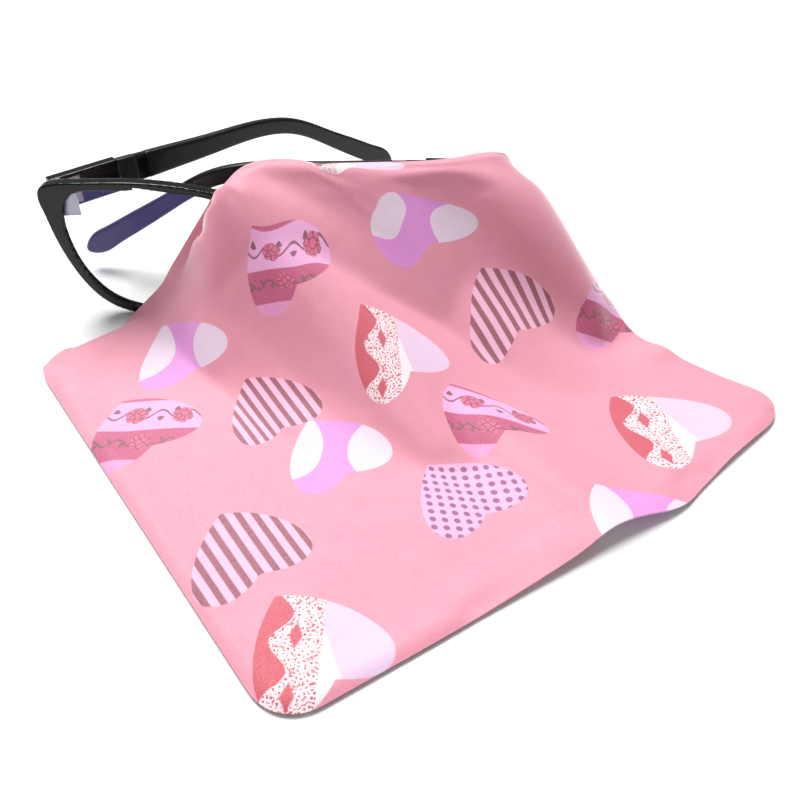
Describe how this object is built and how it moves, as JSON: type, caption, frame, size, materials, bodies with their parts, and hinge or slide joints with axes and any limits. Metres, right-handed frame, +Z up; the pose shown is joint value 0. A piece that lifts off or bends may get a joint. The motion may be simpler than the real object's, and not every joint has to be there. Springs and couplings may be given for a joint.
{
  "type": "spectacles with draped cleaning cloth",
  "caption": "Folded full-rim spectacles standing on their rims, with a printed rectangular microfibre cleaning cloth draped over the top bar and spread in front.",
  "frame": {"origin": "centre of the footprint, on the table that the rims and the cloth lie on", "axes": "+X along the spectacle front, +Y from the front of the rims towards the folded arms, +Z up"},
  "size_m": [0.2178, 0.2442, 0.0492],
  "materials": {
    "black_frame": "satin moulded face with polished edges",
    "black_arm": "fine matte moulding, lighter satin along the top of the hinge block",
    "dark_band": "polished inlay, slightly sunk",
    "clear_lens": "clear with a faint blue-violet anti-reflection bloom",
    "hinge_steel": "dull nickel",
    "printed_microfibre": "suede-like pink microfibre with printed hearts"
  },
  "bodies": {
    "front": {"frame_front": "black_frame", "lens_left": "clear_lens", "hinge_front_leaf_left": "hinge_steel", "hinge_screw_left": "hinge_steel", "lens_right": "clear_lens", "hinge_front_leaf_right": "hinge_steel", "hinge_screw_right": "hinge_steel"},
    "temple_left": {"temple_block_left": "black_arm", "temple_band_left": "dark_band", "temple_arm_left": "black_arm", "hinge_arm_leaf_left": "hinge_steel"},
    "temple_right": {"temple_block_right": "black_arm", "temple_band_right": "dark_band", "temple_arm_right": "black_arm", "hinge_arm_leaf_right": "hinge_steel"},
    "cloth": {"cleaning_cloth": "printed_microfibre"}
  },
  "joints": [
    {"name": "temple_right_hinge", "type": "hinge", "parent": "front", "child": "temple_right", "pos_m": [0.03305, 0.0351, 0.03832], "axis": [0, -0.0698, -0.9976], "range_deg": [-5, 82.9], "deforming": ["cleaning_cloth"]},
    {"name": "temple_left_hinge", "type": "hinge", "parent": "front", "child": "temple_left", "pos_m": [-0.10195, 0.0351, 0.03832], "axis": [0, 0.0698, 0.9976], "range_deg": [-3.3, 53.1]},
    {"name": "cloth_lift", "type": "slide", "parent": "front", "child": "cloth", "axis": [0, 0, 1], "range_m": [0, 0.1]}
  ],
  "couplings": [
    {"joint": "temple_left_hinge", "follows": "temple_right_hinge", "ratio": 0.6393}
  ]
}
